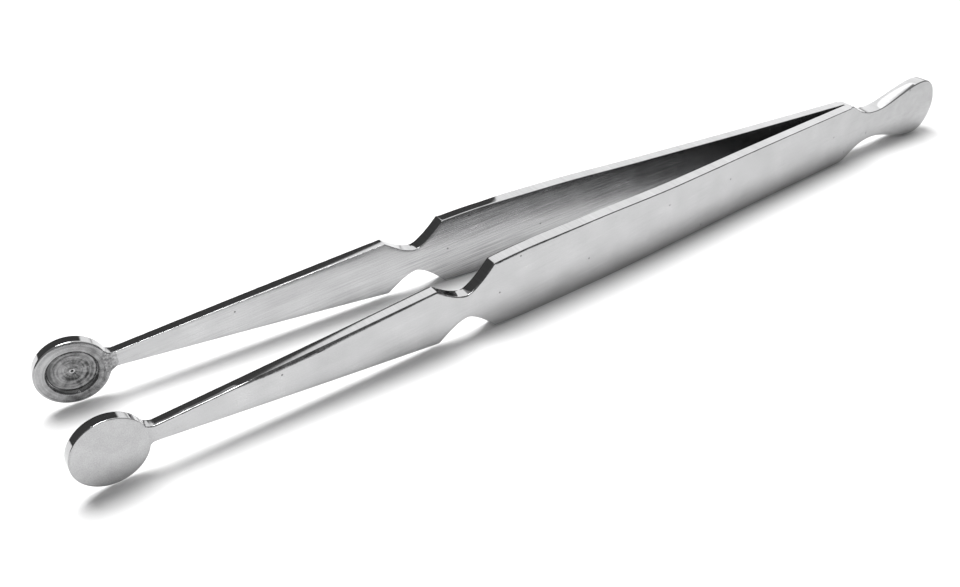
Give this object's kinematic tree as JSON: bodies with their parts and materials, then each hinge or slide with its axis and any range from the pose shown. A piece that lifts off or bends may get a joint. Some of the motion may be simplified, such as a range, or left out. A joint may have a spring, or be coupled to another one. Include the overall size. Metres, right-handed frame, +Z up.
{
  "type": "darkroom print tongs",
  "caption": "Steel tweezer-style print tongs lying on edge: bowed spring blades with filed notches, round facing cups at the tips and a flared tail tab.",
  "frame": {"origin": "under the middle of the object, on the surface that the blade edges lie on", "axes": "+X from the cups to the tail, +Y from the left arm to the right arm, +Z up across the blades' width"},
  "size_m": [0.1673, 0.0198, 0.0114],
  "materials": {
    "blade_steel": "polished, with faint lengthwise grinding lines",
    "weld_steel": "ground weld, slightly rough",
    "cup_steel": "turned and polished, with ring marks in the recess"
  },
  "bodies": {
    "tail": {"tail_tab": "blade_steel", "left_heel": "blade_steel", "right_heel": "blade_steel"},
    "left_arm": {"left_blade": "blade_steel", "left_neck_weld": "weld_steel", "left_tip_cup": "cup_steel"},
    "right_arm": {"right_blade": "blade_steel", "right_neck_weld": "weld_steel", "right_tip_cup": "cup_steel"}
  },
  "joints": [
    {"name": "left_arm_flex", "type": "hinge", "parent": "tail", "child": "left_arm", "pos_m": [0.03706, -0.00264, 0.0057], "axis": [0, 0, -1], "range_deg": [-1.5, 3.84], "stiffness_Nm_per_rad": 8},
    {"name": "right_arm_flex", "type": "hinge", "parent": "tail", "child": "right_arm", "pos_m": [0.03706, 0.00264, 0.0057], "axis": [0, 0, 1], "range_deg": [-1.5, 3.84], "stiffness_Nm_per_rad": 8}
  ]
}
